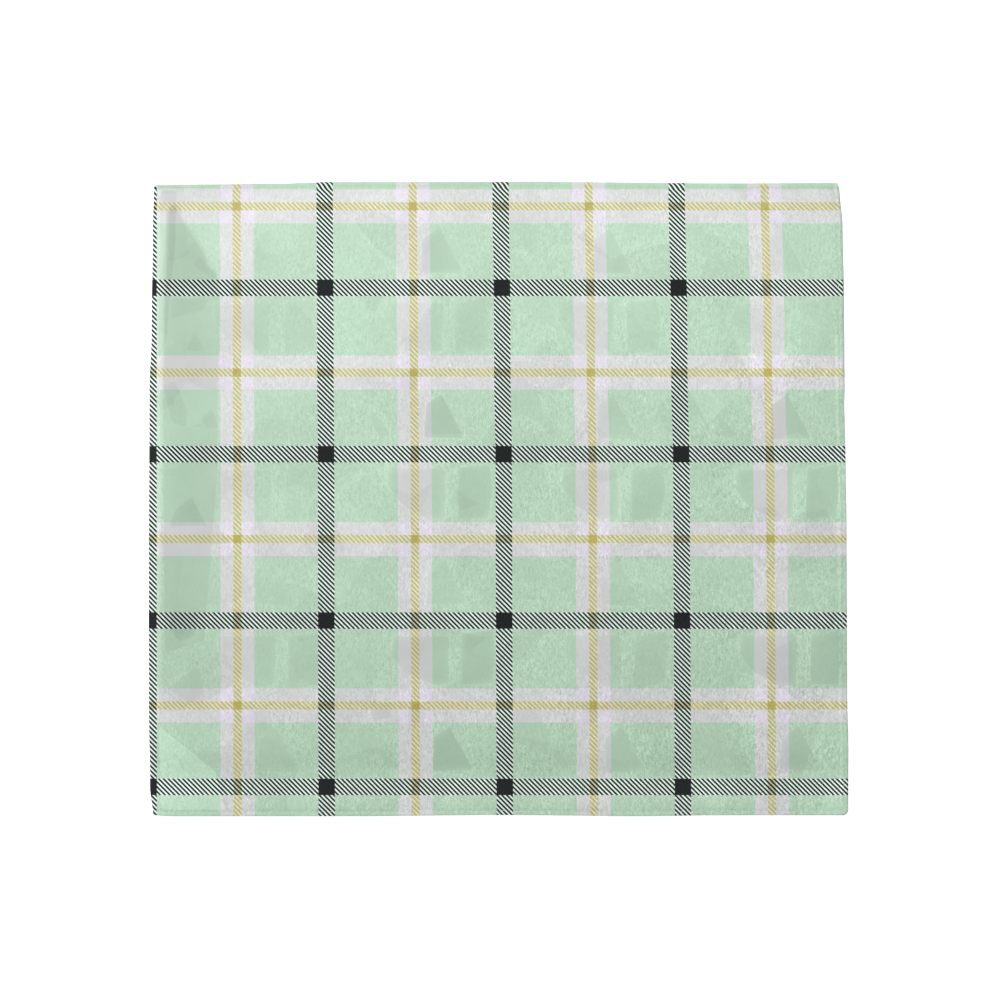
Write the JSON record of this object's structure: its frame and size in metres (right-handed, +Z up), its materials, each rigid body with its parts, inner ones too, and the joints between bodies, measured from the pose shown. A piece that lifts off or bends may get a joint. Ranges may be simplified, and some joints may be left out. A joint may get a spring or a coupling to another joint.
{
  "type": "folded neckerchief",
  "caption": "Light printed satin neckerchief with narrow hems, folded in half twice into a nearly square flat stack of layers.",
  "frame": {"origin": "middle of the underside, on the surface that the folded cloth lies on", "axes": "+X along the fold at the top, towards the open hems on the right; +Y from the open lower hems to that fold; +Z up"},
  "size_m": [0.275, 0.2494, 0.0076],
  "materials": {
    "printed_satin": "light satin crepe with a soft sheen, printed in mint with pale, dark and ochre lines"
  },
  "bodies": {
    "root": {"neckerchief_cloth": "printed_satin"}
  },
  "joints": []
}
